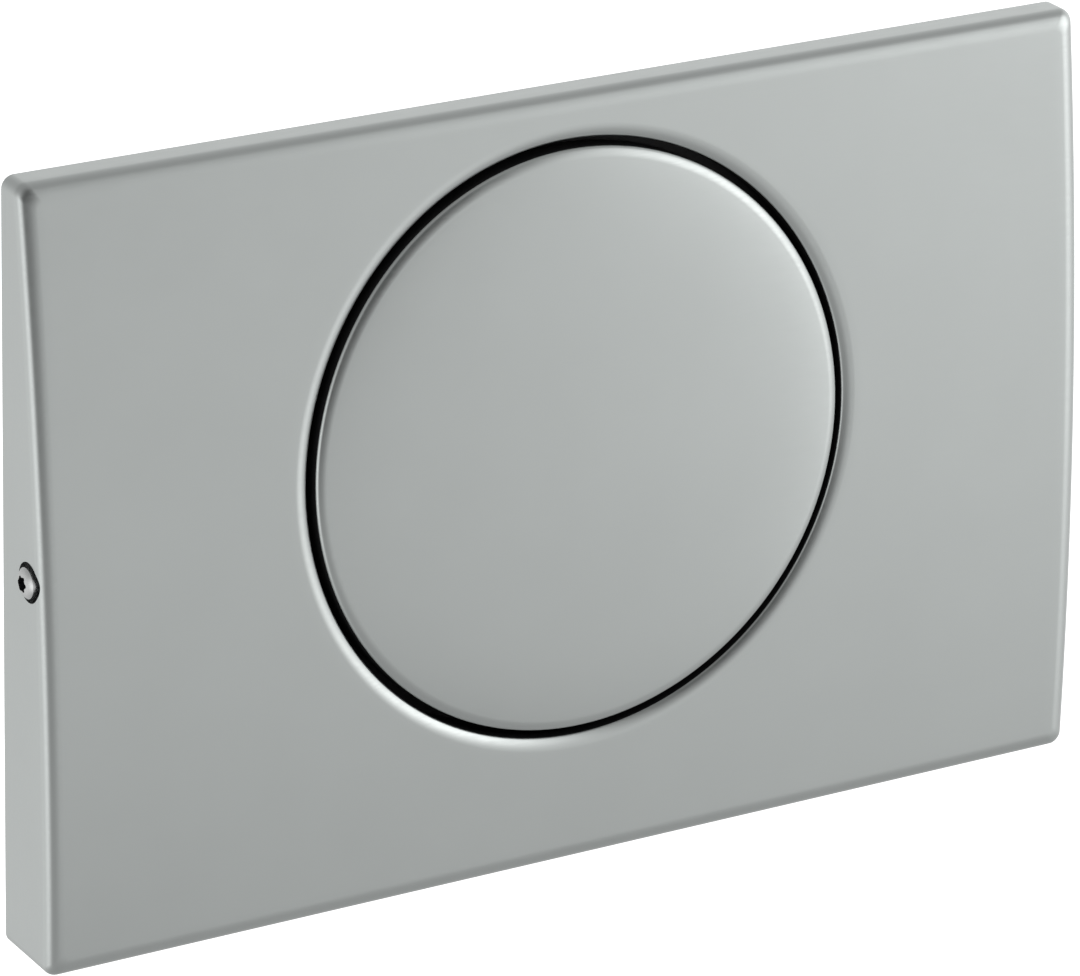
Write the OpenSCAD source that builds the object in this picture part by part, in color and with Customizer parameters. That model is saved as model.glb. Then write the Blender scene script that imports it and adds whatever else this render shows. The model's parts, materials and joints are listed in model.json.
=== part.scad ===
// Wall-mounted flush plate for a concealed cistern, with one large round push button.
// The row frame: X runs to the right along the wall, Y points back into the wall, Z is up.
// The origin is midway between the two fixing bolts, on the plane of the finished wall.

/* [Cover plate] */
// Width of the cover plate
plate_w = 246; // [236:1:260]
// Height of the cover plate
plate_h = 164; // [160:1:176]
// Depth of the cover at its deepest point, from the wall to the front
plate_depth = 19; // [18:0.5:22]
// Radius of the single bow of the front, about a level axis
bow_radius = 1010; // [960:10:1400]
// How far the deepest line of the bow lies below the middle of the plate
bow_low = 71; // [50:1:76]
// Corner radius of the outline
corner_r = 5; // [4.5:0.5:8]
// Radius of the rolled edge between the front and the flanks
edge_r = 3.5; // [2.5:0.5:4]
// Thickness of the steel sheet
sheet = 1.2; // [0.8:0.1:1.4]

/* [Button opening] */
// Radius of the round opening
opening_r = 63.3; // [60:0.1:65]
// Height of the opening's centre above the middle of the plate
opening_rise = 9.6; // [6:0.1:10]
// Outer radius of the rim that is rolled into the opening
rim_r = 1.8; // [1.6:0.1:2.4]
// Depth of the rolled rim behind the front
rim_depth = 3.6; // [3:0.1:4]

/* [Push button] */
// Gap between the button's wall and the rolled rim
button_gap = 1.7; // [1.4:0.1:2.5]
// Height of the button's dome above the bow of the plate
button_crown = 2; // [0.5:0.1:3]
// How far the button's edge stands proud of the plate
button_proud = 0.4; // [0:0.1:1]
// Radius of the button's rounded edge
button_edge_r = 2; // [1.4:0.1:2.4]
// Depth of the button's wall behind the plate's front
button_skirt = 5; // [4.6:0.1:5.2]
// Thickness of the button's sheet
button_sheet = 1; // [0.8:0.1:1.2]
// Angle through which the button turns when it is pressed
press_angle = 4; // [3:0.1:4.2]

/* [Button carrier] */
// Clearance between the carrier and the steel button
carrier_fit = 0.15; // [0.1:0.05:0.3]
// Thickness of the carrier's plate
carrier_t = 2; // [1.6:0.1:2.4]
// Thickness of the carrier's ribs and rim
carrier_rib_t = 1.8; // [1.4:0.1:2.2]
// Depth of the carrier's ribs behind the plane of the opening
carrier_rib_depth = 5; // [4:0.1:5.2]
// Height of the hinge above the centre of the opening
hinge_rise = 44; // [40:0.5:45]
// Depth of the hinge behind the plane of the opening
hinge_depth = 8; // [7.5:0.1:8.5]
// Radius of the hinge pins
pin_r = 1.5; // [1.2:0.1:1.8]
// Running clearance of the hinge pins in the frame
pin_fit = 0.05; // [0.03:0.01:0.08]
// Distance from the middle to the inner face of each carrier ear
ear_inner_x = 15.5; // [12:0.5:18]
// Thickness of each hinge ear
ear_t = 4; // [3:0.5:5]

/* [Mounting frame] */
// Clearance between the frame and the flanks of the cover
frame_gap = 2.5; // [2.4:0.1:4]
// Thickness of the frame's base
frame_t = 3; // [2.5:0.1:3.2]
// Thickness of the frame's ribs and walls
frame_rib_t = 2; // [1.6:0.1:2.4]
// Clearance between the frame's ribs and the inside of the cover
frame_rest = 0.4; // [0.3:0.1:0.8]
// Inner radius of the round tray behind the button
tray_r = 55; // [54:0.5:55.5]
// Depth of the tray behind the wall plane
tray_depth = 9; // [8:0.5:12]
// Thickness of the tray's floor
tray_floor_t = 2.5; // [2:0.1:3]

/* [Fixing bolts] */
// Distance from each side of the cover to its fixing bolt
bolt_inset = 31; // [29:1:34]
// Radius of the bolt's wall end
bolt_r = 4; // [3:0.5:4]
// Length of the bolt behind the wall plane
bolt_length = 50; // [40:1:70]
// Radius of the shoulder that seats in the frame
bolt_shoulder_r = 4.6; // [4.5:0.1:5.5]
// Radius of the front end that takes the nut
bolt_stub_r = 3; // [2.5:0.1:3.2]
// Outer radius of the washer
washer_r = 8.4; // [7.5:0.1:8.6]
// Thickness of the washer
washer_t = 1.2; // [0.8:0.1:1.6]
// Radius of the knurled nut
nut_r = 7.4; // [6.5:0.1:8]
// Height of the knurled nut
nut_h = 4.6; // [4:0.1:5]

/* [Side screw] */
// Depth of the side screw in front of the wall plane
side_screw_depth = 11; // [10:0.1:11.4]
// Height of the side screw above the middle of the plate
side_screw_rise = 1.3; // [0:0.1:4]
// Radius of the hole in the cover's flank
side_hole_r = 4.2; // [4:0.05:4.4]
// Radius of the screw's domed head
side_head_r = 3.6; // [3.2:0.05:3.8]
// Height of the head's straight wall outside the flank
side_head_wall = 0.8; // [0.4:0.1:1.2]
// Height of the dome above that wall
side_head_dome = 1; // [0.6:0.1:1.6]
// Radius of the screw's shank
side_shank_r = 1.9; // [1.6:0.1:2]
// Length of the screw's shank
side_shank_length = 10; // [8:0.5:11]
// Radius of the brass insert
insert_r = 2.7; // [2.5:0.1:2.8]
// Length of the brass insert
insert_length = 8; // [6:0.5:9]

/* [Catch tabs] */
// Distance of the two catch tabs above and below the middle of the plate
tab_rise = 36; // [30:1:48]
// Width of each catch tab
tab_w = 12; // [8:1:16]
// How far the tabs reach in from the right flank
tab_reach = 6; // [5:0.5:8]

/* [Push rods] */
// Distance between the two push rods
rod_spacing = 28; // [26:0.5:32]
// How far the rods sit below the centre of the opening
rod_drop = 35; // [33:0.5:36]
// Radius of the push rods
rod_r = 3; // [2.5:0.1:3.2]
// Length of the rods behind the wall plane
rod_length = 56; // [40:1:80]
// Radius of the rod's front head
rod_head_r = 5.4; // [4.5:0.1:5.6]
// Radius of the cap on the rod's rear end
rod_tip_r = 4.2; // [3.8:0.1:5]

/* [Springs and buffers] */
// Distance between the two return springs
spring_spacing = 68; // [64:1:70]
// How far the springs sit below the centre of the opening
spring_drop = 18; // [16:0.5:19]
// Mean radius of the spring's coil
spring_coil_r = 4.2; // [4:0.1:4.5]
// Radius of the spring's wire
spring_wire_r = 0.5; // [0.4:0.05:0.6]
// Number of turns
spring_turns = 6; // [5:1:8]
// Distance between the two stop buffers
buffer_spacing = 56; // [54:1:58]
// How far the buffers sit below the centre of the opening
buffer_drop = 40; // [38:0.5:41]
// Radius of the rubber buffers
buffer_r = 3.8; // [3:0.1:4]
// Thickness of the rubber buffers
buffer_t = 3; // [2:0.1:4]

/* [Hidden] */

left = -1;
right = 1;
steel = [0.68, 0.69, 0.69];
zinc = [0.74, 0.75, 0.77];
brass = [0.78, 0.62, 0.32];
black = [0.10, 0.10, 0.11];
grey_plastic = [0.62, 0.64, 0.66];
rubber = [0.16, 0.16, 0.17];

// Facet counts: round solids, the bow's own cylinder, and the rings of the lofted sheets
round_fn = 96;
small_fn = 48;
bow_fn = 720;
ring_step = 5;
corner_steps = 6;
edge_steps = 6;
inner_steps = 3;
face_steps = 4;
button_sides = 96;

// The axis of the bow lies behind the wall, level with the deepest line
bow_axis_y = bow_radius - plate_depth;
function bow_y(z) = bow_axis_y - sqrt(pow(bow_radius, 2) - pow(z + bow_low, 2));

// The button lies in the plane through the upper and lower edge of its opening
bow_reach = sqrt(pow(bow_radius, 2) - pow(opening_r, 2));
button_tilt = asin((opening_rise + bow_low) / bow_reach);
button_plane_y = bow_axis_y - bow_reach * cos(button_tilt);
function bow_h(v) = sqrt(pow(bow_radius, 2) - pow(v, 2)) - bow_reach;
function button_y(v, w) = button_plane_y + v * sin(button_tilt) - w * cos(button_tilt);
function button_z(v, w) = opening_rise + v * cos(button_tilt) + w * sin(button_tilt);
function on_button(u, v, w) = [u, button_y(v, w), button_z(v, w)];

button_r = opening_r - button_gap;
function dome_w(u, v) = bow_h(v) + button_proud
    + button_crown * (1 - (pow(u, 2) + pow(v, 2)) / pow(button_r, 2));

// Places that several pieces share
ear_clear = 0.5;
head_clear = 0.3;
ear_r = pin_r + 1.7;
frame_ear_x = ear_inner_x + ear_t + ear_clear;
hinge_y = button_y(hinge_rise, -hinge_depth);
hinge_z = button_z(hinge_rise, -hinge_depth);
frame_w = plate_w - 2 * (sheet + frame_gap);
frame_h = plate_h - 2 * (sheet + frame_gap);
frame_corner_r = 3;
tray_front_y = tray_depth - tray_floor_t;
well_r = opening_r + sheet + 0.8;
tab_clear = 0.6;
lug_half_h = 8;
lug_length = 12;
bolt_x = plate_w / 2 - bolt_inset;
lug_face_x = plate_w / 2 - sheet - 1.3;
window_w = 20;
window_h = 34;
window_gap = 5;
tray_window_w = 44;
window_top = 30;
window_low = -6;
boss_r = 9;
boss_h = 3;
boss_y = -frame_t - boss_h;
rest_gap = 0.3;
touch = 0.02;
seat_fit = 0.05;
carrier_top = 4;
carrier_under_h = button_proud - button_sheet - carrier_fit - carrier_t;
rod_boss_depth = 10;
rod_boss_r = 4;
rod_head_h = 2;
rod_z = button_z(-rod_drop, -rod_boss_depth);
rod_front_y = button_y(rod_boss_r - rod_drop, -rod_boss_depth) + rest_gap;
rod_travel = (hinge_rise + rod_drop) * sin(press_angle);
rod_guide_y = rod_front_y + rod_head_h + rod_travel + 0.5;
rod_guide_back = 5;
rod_fit = 0.06;
spigot_h = 3.5;
spring_z = button_z(-spring_drop, -spigot_h);
spring_outer_r = spring_coil_r + spring_wire_r;
spring_front_y = button_y(spring_outer_r - spring_drop,
    bow_h(spring_outer_r - spring_drop) + carrier_under_h) + touch;
spring_back_y = tray_front_y - touch;
seat_r = spring_outer_r + 0.4;
buffer_z = button_z(-buffer_drop, -hinge_depth);
buffer_travel = (hinge_rise + buffer_drop) * sin(press_angle);
buffer_front_y = button_y(-buffer_drop, bow_h(buffer_drop) + carrier_under_h)
    + buffer_travel + rest_gap;
buffer_post_y = buffer_front_y + buffer_t;
buffer_post_r = buffer_r + 0.4;
buffer_stem_r = 1.8;
buffer_stem_l = 5.5;
hook_x = 8;
hook_w = 8;
hook_t = 2.4;
hook_drop = 47;
hook_catch = 2.2;
hook_barb_h = 2.6;
hook_tip_v = -hook_drop - hook_t - hook_catch;
hook_depth = (tray_depth + rest_gap - button_plane_y - hook_tip_v * sin(button_tilt))
    / cos(button_tilt);

// Turns a shape drawn with X across and Y up into a slab between two depths
module slab(back_y, front_y) {
    translate([0, back_y, 0])
        rotate([90, 0, 0])
            linear_extrude(height = back_y - front_y)
                children();
}

// A round bar along Y, between two depths
module y_bar(x, z, back_y, front_y, r, fn = small_fn) {
    translate([x, back_y, z])
        rotate([90, 0, 0])
            cylinder(h = back_y - front_y, r = r, $fn = fn);
}

// A round bar along X, starting at x and running outwards on the given side
module x_bar(side, x, y, z, length, r, fn = small_fn) {
    translate([side * x, y, z])
        rotate([0, side * 90, 0])
            cylinder(h = length, r = r, $fn = fn);
}

// The button's own frame: X across, Y up the slope, Z out of the plate
module in_button_plane() {
    translate([0, button_plane_y, opening_rise])
        rotate([90 - button_tilt, 0, 0])
            children();
}

// Everything behind the bow of the plate, moved inwards by the given amount
module inside_bow(inset) {
    translate([-plate_w, bow_axis_y, -bow_low])
        rotate([0, 90, 0])
            cylinder(h = 2 * plate_w, r = bow_radius - inset, $fn = bow_fn);
}

module rounded_outline(w, h, r) {
    square([w - 2 * r, h], center = true);
    square([w, h - 2 * r], center = true);
    for (x = [-1, 1], y = [-1, 1])
        translate([x * (w / 2 - r), y * (h / 2 - r)])
            circle(r = r, $fn = small_fn);
}

// Outline of the cover as rows of [centre x, centre z, normal x, normal z], anticlockwise
core_w = plate_w / 2 - corner_r;
core_h = plate_h / 2 - corner_r;
ray_angles = [for (a = [-85 : ring_step : 85]) a];
function corner_row(x, z, from) =
    [for (i = [0 : corner_steps])
        let (a = from + 90 * i / corner_steps) [x, z, cos(a), sin(a)]];
side_z = [for (a = ray_angles) opening_rise + plate_w / 2 * tan(a)];
top_x = [for (a = ray_angles) (plate_h / 2 - opening_rise) * tan(a)];
bottom_x = [for (a = ray_angles) (plate_h / 2 + opening_rise) * tan(a)];
outline_rows = concat(
    [for (z = side_z) if (abs(z) < core_h - 1) [core_w, z, 1, 0]],
    corner_row(core_w, core_h, 0),
    [for (x = top_x) if (abs(x) < core_w - 1) [-x, core_h, 0, 1]],
    corner_row(-core_w, core_h, 90),
    [for (i = [len(side_z) - 1 : -1 : 0])
        if (abs(side_z[i]) < core_h - 1) [-core_w, side_z[i], -1, 0]],
    corner_row(-core_w, -core_h, 180),
    [for (x = bottom_x) if (abs(x) < core_w - 1) [x, -core_h, 0, -1]],
    corner_row(core_w, -core_h, 270));

function inset_point(row, inset) =
    [row[0] + (corner_r - inset) * row[2], row[1] + (corner_r - inset) * row[3]];

// A ring on the flank or rolled edge: inset from the outline, dropped behind the bow
function flank_ring(inset, drop) =
    [for (row = outline_rows)
        let (p = inset_point(row, inset)) [p[0], bow_y(p[1]) + drop, p[1]]];
function wall_ring(inset) =
    [for (row = outline_rows)
        let (p = inset_point(row, inset)) [p[0], 0, p[1]]];

// Directions from the centre of the opening to the inner end of the rolled edge
rim_angles = [for (row = outline_rows)
    let (p = inset_point(row, edge_r)) atan2(p[1] - opening_rise, p[0])];
function rim_ring(radius, drop) =
    [for (a = rim_angles)
        on_button(radius * cos(a), radius * sin(a), bow_h(radius * sin(a)) - drop)];

// A ring of the front, blended from the rolled edge to the opening's rim
face_end = rim_ring(opening_r + rim_r, 0);
function face_ring(t, drop) =
    [for (i = [0 : len(outline_rows) - 1])
        let (p = inset_point(outline_rows[i], edge_r),
            x = p[0] + (face_end[i][0] - p[0]) * t,
            z = p[1] + (face_end[i][2] - p[1]) * t)
        [x, bow_y(z) + drop, z]];

// Joins closed rings into one closed sheet that returns to its first ring
function band_faces(rings, count, closed) =
    [for (k = [0 : rings - (closed ? 1 : 2)], i = [0 : count - 1])
        let (a = k * count + i,
            b = k * count + (i + 1) % count,
            c = ((k + 1) % rings) * count + i,
            d = ((k + 1) % rings) * count + (i + 1) % count)
        each [[a, d, b], [a, c, d]]];

module cover_shell() {
    inner_edge = edge_r - sheet;
    inner_rim = rim_r - sheet;
    rings = concat(
        [wall_ring(0)],
        [for (i = [0 : edge_steps])
            let (a = 90 * i / edge_steps)
            flank_ring(edge_r * (1 - cos(a)), edge_r * (1 - sin(a)))],
        [for (i = [1 : face_steps]) face_ring(i / face_steps, 0)],
        [for (i = [1 : edge_steps - 1])
            let (a = 90 * i / (edge_steps - 1))
            rim_ring(opening_r + rim_r * (1 - sin(a)), rim_r * (1 - cos(a)))],
        [rim_ring(opening_r, rim_depth), rim_ring(opening_r + sheet, rim_depth)],
        [for (i = [inner_steps : -1 : 1])
            let (a = 90 * i / inner_steps)
            rim_ring(opening_r + rim_r - inner_rim * sin(a), sheet + inner_rim * (1 - cos(a)))],
        [for (i = [face_steps : -2 : 0]) face_ring(i / face_steps, sheet)],
        [for (i = [inner_steps - 1 : -1 : 0])
            let (a = 90 * i / inner_steps)
            flank_ring(sheet + inner_edge * (1 - cos(a)), sheet + inner_edge * (1 - sin(a)))],
        [wall_ring(sheet)]);
    count = len(outline_rows);
    polyhedron(
        points = [for (ring = rings) each ring],
        faces = band_faces(len(rings), count, true),
        convexity = 6);
}

// Bowed steel cover: one drawn sheet with rolled edges and a rolled rim round the opening,
// a screw hole in the left flank and two tabs bent in from the right flank
module cover_plate() {
    color(steel) {
        difference() {
            cover_shell();
            x_bar(left, plate_w / 2 - 2 * sheet, -side_screw_depth, side_screw_rise,
                3 * sheet, side_hole_r);
        }
        for (z = [-tab_rise, tab_rise])
            translate([plate_w / 2 - sheet - tab_reach, -sheet, z - tab_w / 2])
                cube([tab_reach + sheet / 2, sheet, tab_w]);
    }
}

// Domed steel button: a drawn cap that follows the bow of the plate
function cap_ring(radius, w_of_edge) =
    [for (i = [0 : button_sides - 1])
        let (a = 360 * i / button_sides,
            u = radius * cos(a),
            v = radius * sin(a))
        on_button(u, v, w_of_edge(u, v))];

module push_button() {
    core_r = button_r - button_edge_r;
    inner_r = button_r - button_sheet;
    inner_edge = button_edge_r - button_sheet;
    slope = atan(2 * button_crown * core_r / pow(button_r, 2));
    outer_top = [for (t = [0.3, 0.6, 0.85])
        cap_ring(core_r * t, function (u, v) dome_w(u, v))];
    outer_edge = [for (i = [0 : edge_steps])
        let (a = slope + (90 - slope) * i / edge_steps)
        cap_ring(core_r + button_edge_r * sin(a), function (u, v)
            let (k = core_r / (core_r + button_edge_r * sin(a)))
            dome_w(u * k, v * k) - button_edge_r * (1 - cos(a)))];
    inner_edge_rings = [for (i = [inner_steps : -1 : 0])
        let (a = 90 * i / inner_steps)
        cap_ring(core_r + inner_edge * sin(a), function (u, v)
            let (k = core_r / (core_r + inner_edge * sin(a)))
            dome_w(u * k, v * k) - button_sheet - inner_edge * (1 - cos(a)))];
    inner_top = [for (t = [0.66, 0.33])
        cap_ring(core_r * t, function (u, v) dome_w(u, v) - button_sheet)];
    rings = concat(outer_top, outer_edge,
        [cap_ring(button_r, function (u, v) -button_skirt),
            cap_ring(inner_r, function (u, v) -button_skirt)],
        inner_edge_rings, inner_top);
    n = button_sides;
    top_point = len(rings) * n;
    last = (len(rings) - 1) * n;
    color(steel)
        polyhedron(
            points = concat([for (ring = rings) each ring],
                [on_button(0, 0, dome_w(0, 0)), on_button(0, 0, dome_w(0, 0) - button_sheet)]),
            faces = concat(
                band_faces(len(rings), n, false),
                [for (i = [0 : n - 1]) [top_point, i, (i + 1) % n]],
                [for (i = [0 : n - 1]) [top_point + 1, last + (i + 1) % n, last + i]]),
            convexity = 6);
}

// Bow of the plate in the button's own frame, with its crest at the given height
module bow_in_plane(rise) {
    translate([-opening_r, 0, rise - bow_reach])
        rotate([0, 90, 0])
            cylinder(h = 2 * opening_r, r = bow_radius, $fn = bow_fn);
}

// Moulded carrier that fills the steel button: plate, rim, ribs, hinge ears, hooks and pushers
module button_carrier() {
    plate_r = button_r - button_edge_r - carrier_fit;
    rim_outer_r = button_r - button_sheet - carrier_fit;
    top_h = button_proud - button_sheet - carrier_fit;
    rim_h = top_h - button_edge_r + button_sheet;
    rib_reach = rim_outer_r - carrier_rib_t / 2;
    color(black)
        in_button_plane() {
            intersection() {
                difference() {
                    translate([0, 0, -carrier_rib_depth])
                        cylinder(h = carrier_rib_depth + 5, r = plate_r, $fn = round_fn);
                    bow_in_plane(carrier_under_h);
                }
                bow_in_plane(top_h);
            }
            intersection() {
                difference() {
                    translate([0, 0, -carrier_rib_depth])
                        cylinder(h = carrier_rib_depth + 5, r = rim_outer_r, $fn = round_fn);
                    translate([0, 0, -carrier_rib_depth - 1])
                        cylinder(h = carrier_rib_depth + 7, r = rim_outer_r - carrier_rib_t,
                            $fn = round_fn);
                }
                bow_in_plane(rim_h);
            }
            intersection() {
                union() {
                    carrier_ribs(rib_reach);
                    carrier_ears();
                    carrier_hooks();
                    carrier_pegs();
                }
                bow_in_plane(top_h - carrier_t / 2);
            }
        }
}

module carrier_ribs(reach) {
    ring_r = 24;
    side_rib_x = 44;
    cross_ribs = [-29, -4, 28];
    side_rib = sqrt(pow(reach, 2) - pow(side_rib_x, 2));
    long_rib = hinge_rise - 2 * ear_r + hook_drop;
    rib_h = carrier_rib_depth + carrier_top;
    translate([0, 0, -carrier_rib_depth]) {
        difference() {
            cylinder(h = rib_h, r = ring_r + carrier_rib_t, $fn = round_fn);
            translate([0, 0, -1])
                cylinder(h = rib_h + 2, r = ring_r, $fn = round_fn);
        }
        for (x = [-hook_x, hook_x])
            translate([x - carrier_rib_t / 2, -hook_drop, 0])
                cube([carrier_rib_t, long_rib, rib_h]);
        for (x = [-side_rib_x, side_rib_x])
            translate([x - carrier_rib_t / 2, -side_rib, 0])
                cube([carrier_rib_t, 2 * side_rib, rib_h]);
        for (y = cross_ribs)
            let (half = sqrt(pow(reach, 2) - pow(y, 2)))
            translate([-half, y - carrier_rib_t / 2, 0])
                cube([2 * half, carrier_rib_t, rib_h]);
    }
}

module carrier_ears() {
    for (side = [left, right])
        difference() {
            union() {
                translate([side * (ear_inner_x + ear_t / 2) - ear_t / 2, hinge_rise - ear_r,
                    -hinge_depth])
                    cube([ear_t, 2 * ear_r, hinge_depth + carrier_top]);
                x_bar(side, ear_inner_x, hinge_rise, -hinge_depth, ear_t, ear_r);
            }
            x_bar(side, ear_inner_x - 1, hinge_rise, -hinge_depth, ear_t + 2, pin_r);
        }
}

// Two arms that reach through the tray's floor and hold the button at rest
module carrier_hooks() {
    arm_l = hook_depth + hook_barb_h;
    for (side = [left, right])
        translate([side * hook_x - hook_w / 2, -hook_drop - hook_t, -arm_l]) {
            cube([hook_w, hook_t, arm_l + carrier_top]);
            rotate([90, 0, 90])
                linear_extrude(height = hook_w)
                    polygon([[0.5, 0], [0, 0], [-hook_catch, hook_barb_h], [0.5, hook_barb_h]]);
        }
}

// Pushers in front of the rods and spigots inside the springs
module carrier_pegs() {
    spigot_r = spring_coil_r - spring_wire_r - 0.7;
    for (side = [left, right]) {
        translate([side * rod_spacing / 2, -rod_drop, -rod_boss_depth])
            cylinder(h = rod_boss_depth + carrier_top, r = rod_boss_r, $fn = small_fn);
        translate([side * spring_spacing / 2, -spring_drop, -spigot_h])
            cylinder(h = spigot_h + carrier_top, r = spigot_r, $fn = small_fn);
    }
}

// Moulded mounting frame: base, rim and ribs behind the cover, tray behind the button
module mounting_frame() {
    color(black)
        difference() {
            union() {
                frame_base();
                intersection() {
                    union() {
                        frame_walls();
                        side_lug(left);
                        side_lug(right);
                    }
                    inside_bow(sheet + frame_rest);
                }
                frame_tray();
                tray_back_ribs();
                for (side = [left, right]) {
                    y_bar(side * bolt_x, 0, -frame_t + 1, boss_y, boss_r);
                    frame_ear(side);
                    y_bar(side * rod_spacing / 2, rod_z, tray_depth + rod_guide_back, rod_guide_y,
                        rod_r + 2.2);
                    y_bar(side * buffer_spacing / 2, buffer_z, tray_front_y + 1, buffer_post_y,
                        buffer_post_r);
                    spring_seat(side);
                }
            }
            catch_pockets();
            x_bar(left, lug_face_x - insert_length, -side_screw_depth, side_screw_rise,
                insert_length + 1, insert_r);
            x_bar(left, lug_face_x - lug_length - 1, -side_screw_depth, side_screw_rise,
                lug_length, side_shank_r + 0.1);
            for (side = [left, right]) {
                y_bar(side * bolt_x, 0, 1, boss_y - 1, bolt_shoulder_r + seat_fit);
                y_bar(side * rod_spacing / 2, rod_z, tray_depth + rod_guide_back + 1,
                    rod_guide_y - 1, rod_r + rod_fit);
                y_bar(side * buffer_spacing / 2, buffer_z, buffer_post_y + buffer_stem_l + 0.5,
                    buffer_post_y - 1, buffer_stem_r + seat_fit);
                x_bar(side, frame_ear_x - 1, hinge_y, hinge_z, ear_t + 2, pin_r + pin_fit);
            }
        }
}

module frame_base() {
    window_r = 4;
    difference() {
        slab(0, -frame_t)
            rounded_outline(frame_w, frame_h, frame_corner_r);
        y_bar(0, opening_rise, 1, -frame_t - 1, tray_r, round_fn);
        for (x = [-1, 1], z = [-1, 1])
            translate([x * bolt_x, 0, z * (boss_r + window_gap + window_h / 2)])
                slab(1, -frame_t - 1)
                    rounded_outline(window_w, window_h, window_r);
    }
}

// Rim, well wall and ribs: drawn too tall and cut back to the inside of the cover
module frame_walls() {
    near_z = boss_r + window_gap / 2;
    far_z = boss_r + window_gap + window_h + 4;
    rib_x = [bolt_x - 20, bolt_x + 13];
    rib_z = [-far_z, -near_z, near_z, far_z];
    slab(-frame_t + 1, -plate_depth) {
        difference() {
            rounded_outline(frame_w, frame_h, frame_corner_r);
            rounded_outline(frame_w - 2 * frame_rib_t, frame_h - 2 * frame_rib_t,
                frame_corner_r - frame_rib_t / 2);
        }
        difference() {
            union() {
                translate([0, opening_rise])
                    circle(r = well_r + frame_rib_t, $fn = round_fn);
                for (x = rib_x, side = [left, right])
                    translate([side * x, 0])
                        square([frame_rib_t, frame_h - frame_rib_t], center = true);
                for (z = rib_z, side = [left, right])
                    translate([side * (rib_x[0] + frame_w / 2) / 2, z])
                        square([frame_w / 2 - rib_x[0], frame_rib_t], center = true);
            }
            translate([0, opening_rise])
                circle(r = well_r, $fn = round_fn);
        }
    }
}

// Ribs on the tray's back: a rim outside the hooks, and bars round the window
module tray_back_ribs() {
    rib_h = 1.6;
    hook_low = opening_rise - button_z(hook_tip_v, -hook_depth);
    rim_in_r = norm([hook_x + hook_w / 2, hook_low]) + 0.5;
    rim_mid_r = rim_in_r + frame_rib_t / 2;
    bar_x = tray_window_w / 2 + 5;
    bar_z = [window_low - 4, window_top + 4];
    translate([0, 0, opening_rise])
        slab(tray_depth + rib_h, tray_depth - 1) {
            difference() {
                circle(r = rim_in_r + frame_rib_t, $fn = round_fn);
                circle(r = rim_in_r, $fn = round_fn);
            }
            for (x = [-bar_x, bar_x])
                let (half = sqrt(pow(rim_mid_r, 2) - pow(x, 2)))
                translate([x, 0])
                    square([frame_rib_t, 2 * half], center = true);
            for (z = bar_z)
                let (half = sqrt(pow(rim_mid_r, 2) - pow(z, 2)))
                translate([0, z])
                    square([2 * half, frame_rib_t], center = true);
        }
}

// Round tray that reaches back through the opening in the wall
module frame_tray() {
    difference() {
        y_bar(0, opening_rise, tray_depth, -frame_t, tray_r + frame_rib_t, round_fn);
        y_bar(0, opening_rise, tray_front_y, -frame_t - 1, tray_r, round_fn);
        translate([0, 0, opening_rise + (window_top + window_low) / 2])
            slab(tray_depth + 1, tray_front_y - 1)
                rounded_outline(tray_window_w, window_top - window_low, 6);
        for (side = [left, right])
            hook_window(side);
    }
}

module hook_window(side) {
    tip_z = button_z(-hook_drop - hook_t, -hook_depth);
    side_clear = 0.6;
    rise = 6;
    translate([side * hook_x, 0, tip_z - rest_gap + rise / 2])
        slab(tray_depth + 1, tray_front_y - 1)
            square([hook_w + 2 * side_clear, rise], center = true);
}

module frame_ear(side) {
    foot = 5;
    x = side * (frame_ear_x + ear_t / 2);
    translate([x - ear_t / 2, hinge_y, hinge_z - ear_r])
        cube([ear_t, tray_front_y - hinge_y + 1, 2 * ear_r]);
    translate([x - ear_t / 2, tray_front_y - foot, hinge_z - 2 * ear_r])
        cube([ear_t, foot + 1, 2 * ear_r]);
    x_bar(side, frame_ear_x, hinge_y, hinge_z, ear_t, ear_r);
}

// Pockets at the frame's right edge, behind which the cover's tabs catch
module catch_pockets() {
    inner_x = plate_w / 2 - sheet - tab_reach - tab_clear;
    for (z = [-tab_rise, tab_rise])
        translate([inner_x, -sheet - tab_clear / 2, z - tab_w / 2 - tab_clear])
            cube([plate_w / 2 - inner_x, sheet + 1, tab_w + 2 * tab_clear]);
}

// Block behind each flank: the left one holds the insert of the side screw
module side_lug(side) {
    x = lug_face_x - lug_length;
    translate([side > 0 ? x : -lug_face_x, -plate_depth, side_screw_rise - lug_half_h])
        cube([lug_length, plate_depth - frame_t + 1, 2 * lug_half_h]);
}

module spring_seat(side) {
    seat_h = 2.4;
    difference() {
        y_bar(side * spring_spacing / 2, spring_z, tray_front_y + 1, tray_front_y - seat_h,
            seat_r + 1.4);
        y_bar(side * spring_spacing / 2, spring_z, tray_front_y, tray_front_y - seat_h - 1,
            seat_r);
    }
}

// Distance bolt: wall end, shoulder in the frame, stub for the nut
module distance_bolt(side) {
    tip = 1;
    stub_y = boss_y - washer_t - nut_h - 0.8;
    color(zinc)
        translate([side * bolt_x, 0, 0])
            rotate([90, 0, 0]) {
                translate([0, 0, -bolt_length + tip])
                    cylinder(h = bolt_length - tip, r = bolt_r, $fn = small_fn);
                translate([0, 0, -bolt_length])
                    cylinder(h = tip, r1 = bolt_r - tip, r2 = bolt_r, $fn = small_fn);
                cylinder(h = -boss_y, r = bolt_shoulder_r, $fn = small_fn);
                difference() {
                    cylinder(h = -stub_y, r = bolt_stub_r, $fn = small_fn);
                    translate([0, 0, -stub_y - 2.4])
                        cylinder(h = 3, r = 1.7, $fn = 6);
                }
            }
}

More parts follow.
